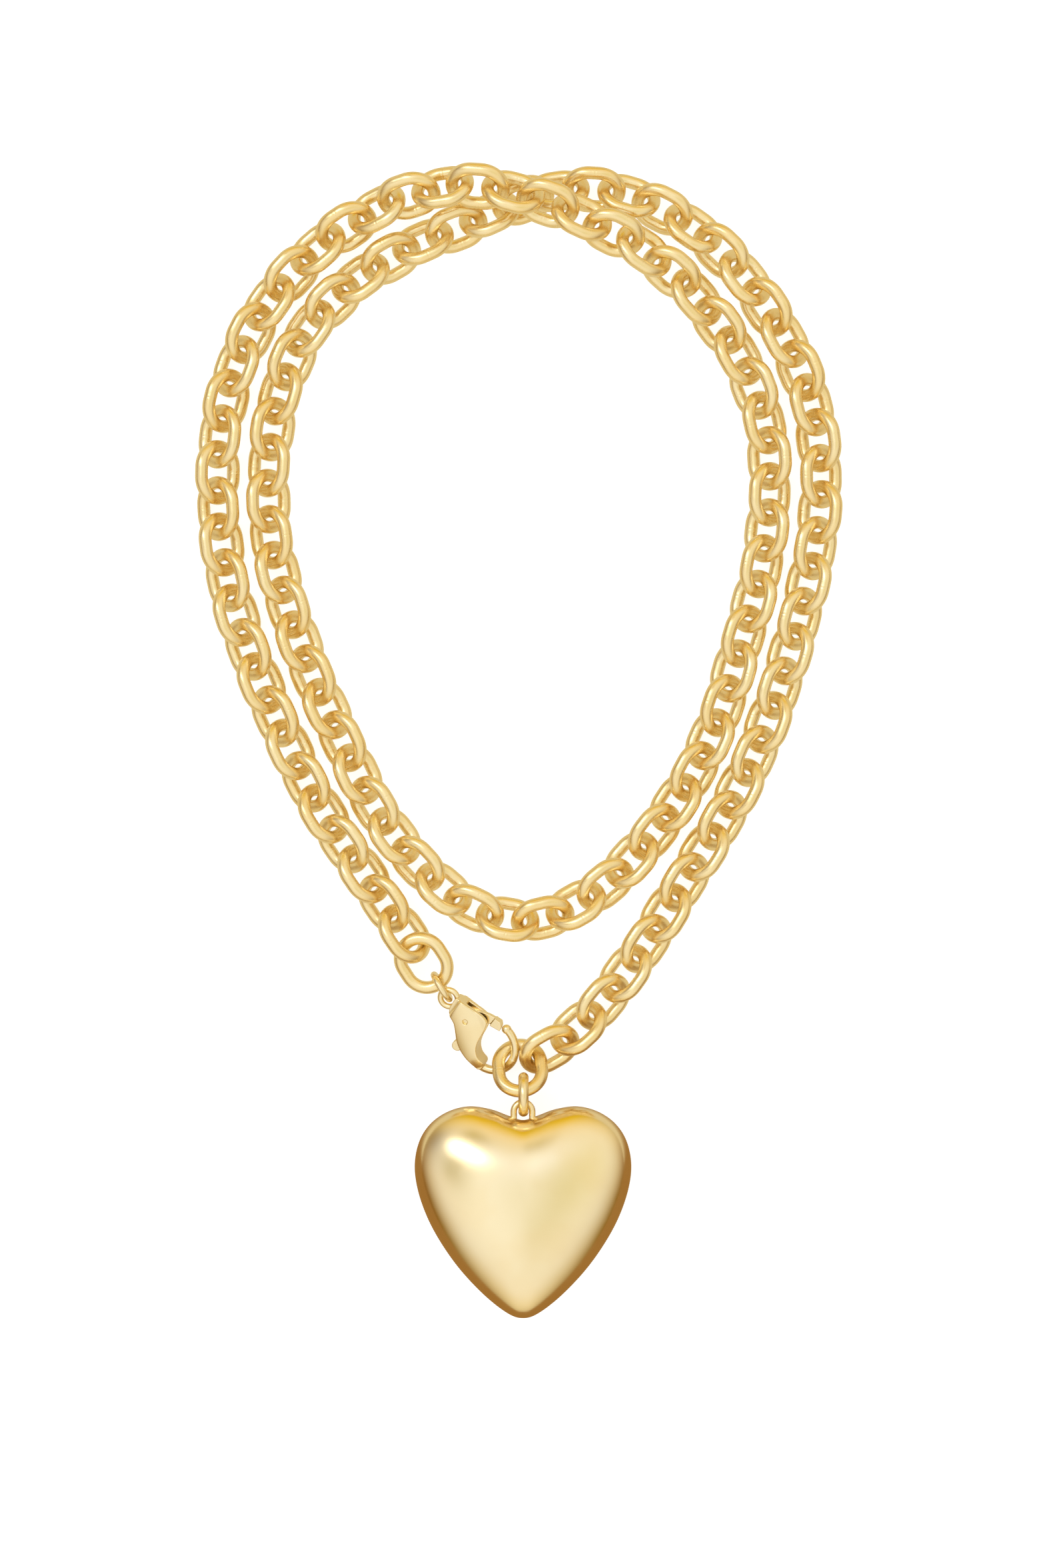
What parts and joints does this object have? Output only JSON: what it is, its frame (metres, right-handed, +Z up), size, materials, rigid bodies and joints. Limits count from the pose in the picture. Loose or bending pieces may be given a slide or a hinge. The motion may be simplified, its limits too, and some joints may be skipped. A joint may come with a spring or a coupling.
{
  "type": "pendant necklace",
  "caption": "Double-wrapped statement necklace of thick oval gold links, lobster clasp hooked on the last link, and a puffed heart hanging from a bail ring.",
  "frame": {"origin": "under the middle of the whole piece as it lies flat, on the surface it lies on", "axes": "+Z up from the surface, +Y towards the back of the neck, +X to the right; the heart hangs towards -Y"},
  "size_m": [0.133, 0.2361, 0.0184],
  "materials": {
    "chain_gold": "polished",
    "clasp_gold": "polished",
    "heart_gold": "polished",
    "spring_steel": "drawn wire"
  },
  "bodies": {
    "long_loop_5": {"chain_links_01": "chain_gold", "chain_links_36": "chain_gold"},
    "long_loop_4": {"chain_links_02": "chain_gold", "chain_links_35": "chain_gold"},
    "long_loop_3": {"chain_links_03": "chain_gold", "chain_links_34": "chain_gold"},
    "long_loop_2": {"chain_links_04": "chain_gold", "chain_links_33": "chain_gold"},
    "long_loop_1": {"chain_links_05": "chain_gold", "chain_links_32": "chain_gold"},
    "back_of_neck": {"chain_links_06": "chain_gold", "chain_links_07": "chain_gold", "chain_links_08": "chain_gold", "chain_links_09": "chain_gold", "chain_links_10": "chain_gold", "chain_links_11": "chain_gold", "chain_links_12": "chain_gold", "chain_links_13": "chain_gold", "chain_links_24": "chain_gold", "chain_links_25": "chain_gold", "chain_links_26": "chain_gold", "chain_links_27": "chain_gold", "chain_links_28": "chain_gold", "chain_links_29": "chain_gold", "chain_links_30": "chain_gold", "chain_links_31": "chain_gold"},
    "short_loop_1": {"chain_links_14": "chain_gold", "chain_links_23": "chain_gold"},
    "short_loop_2": {"chain_links_15": "chain_gold", "chain_links_22": "chain_gold"},
    "short_loop_3": {"chain_links_16": "chain_gold", "chain_links_21": "chain_gold"},
    "short_loop_4": {"chain_links_17": "chain_gold", "chain_links_20": "chain_gold"},
    "short_loop_5": {"chain_links_18": "chain_gold", "chain_links_19": "chain_gold"},
    "long_loop_6": {"chain_links_37": "chain_gold", "chain_links_38": "chain_gold", "end_link": "chain_gold", "last_link": "chain_gold", "clasp_body": "clasp_gold", "clasp_pin": "clasp_gold", "clasp_spring": "spring_steel"},
    "jump_ring": {"jump_ring": "clasp_gold"},
    "clasp_lever": {"clasp_lever": "clasp_gold"},
    "bail_ring": {"bail_ring": "clasp_gold"},
    "heart": {"heart_eyelet": "heart_gold", "heart_front_shell": "heart_gold", "heart_back_shell": "heart_gold"}
  },
  "joints": [
    {"name": "long_loop_fold_1", "type": "hinge", "parent": "back_of_neck", "child": "long_loop_1", "pos_m": [0.00005, 0.05815, 0.00446], "axis": [-1, 0.0062, 0], "range_deg": [0, 30]},
    {"name": "long_loop_fold_2", "type": "hinge", "parent": "long_loop_1", "child": "long_loop_2", "pos_m": [-0.00021, 0.03597, 0.00446], "axis": [-1, 0.0059, 0], "range_deg": [0, 30]},
    {"name": "long_loop_fold_3", "type": "hinge", "parent": "long_loop_2", "child": "long_loop_3", "pos_m": [0.00014, 0.01451, 0.00446], "axis": [-1, 0.0087, 0], "range_deg": [0, 30]},
    {"name": "long_loop_fold_4", "type": "hinge", "parent": "long_loop_3", "child": "long_loop_4", "pos_m": [0.00072, -0.00615, 0.00446], "axis": [-0.9999, 0.0152, 0], "range_deg": [0, 30]},
    {"name": "long_loop_fold_5", "type": "hinge", "parent": "long_loop_4", "child": "long_loop_5", "pos_m": [0.00095, -0.02539, 0.00446], "axis": [-0.9997, 0.024, 0], "range_deg": [0, 30]},
    {"name": "long_loop_fold_6", "type": "hinge", "parent": "long_loop_5", "child": "long_loop_6", "pos_m": [0.00127, -0.04405, 0.00446], "axis": [-0.9989, 0.0459, 0], "range_deg": [0, 10]},
    {"name": "short_loop_fold_1", "type": "hinge", "parent": "back_of_neck", "child": "short_loop_1", "pos_m": [0.00003, 0.05332, 0.00446], "axis": [-0.9999, -0.0135, 0], "range_deg": [0, 30]},
    {"name": "short_loop_fold_2", "type": "hinge", "parent": "short_loop_1", "child": "short_loop_2", "pos_m": [0.00028, 0.03127, 0.00446], "axis": [-0.9999, -0.0129, 0], "range_deg": [0, 30]},
    {"name": "short_loop_fold_3", "type": "hinge", "parent": "short_loop_2", "child": "short_loop_3", "pos_m": [0.00102, 0.01006, 0.00446], "axis": [-1, -0.0092, 0], "range_deg": [0, 30]},
    {"name": "short_loop_fold_4", "type": "hinge", "parent": "short_loop_3", "child": "short_loop_4", "pos_m": [0.0013, -0.01023, 0.00446], "axis": [-1, -0.009, 0], "range_deg": [0, 30]},
    {"name": "short_loop_fold_5", "type": "hinge", "parent": "short_loop_4", "child": "short_loop_5", "pos_m": [0.00114, -0.02793, 0.00446], "axis": [-0.9998, -0.02, 0], "range_deg": [0, 30]},
    {"name": "jump_ring_swing", "type": "hinge", "parent": "long_loop_6", "child": "jump_ring", "pos_m": [-0.01584, -0.05097, 0.00453], "axis": [0.6785, -0.386, 0.625], "range_deg": [-6, 34]},
    {"name": "clasp_lever_open", "type": "hinge", "parent": "long_loop_6", "child": "clasp_lever", "pos_m": [-0.01053, -0.05736, 0.00456], "axis": [0.2822, 0.3358, -0.8987], "range_deg": [0, 32], "stiffness_Nm_per_rad": 0.002, "springref_deg": -17.19},
    {"name": "bail_ring_lift", "type": "hinge", "parent": "long_loop_6", "child": "bail_ring", "pos_m": [0.00064, -0.07207, 0.00835], "axis": [-0.9954, -0.0958, 0], "range_deg": [0, 80]},
    {"name": "heart_sway", "type": "hinge", "parent": "bail_ring", "child": "heart", "pos_m": [0.0009, -0.0763, 0.0083], "axis": [0, 0, 1], "range_deg": [-30, 30]}
  ]
}
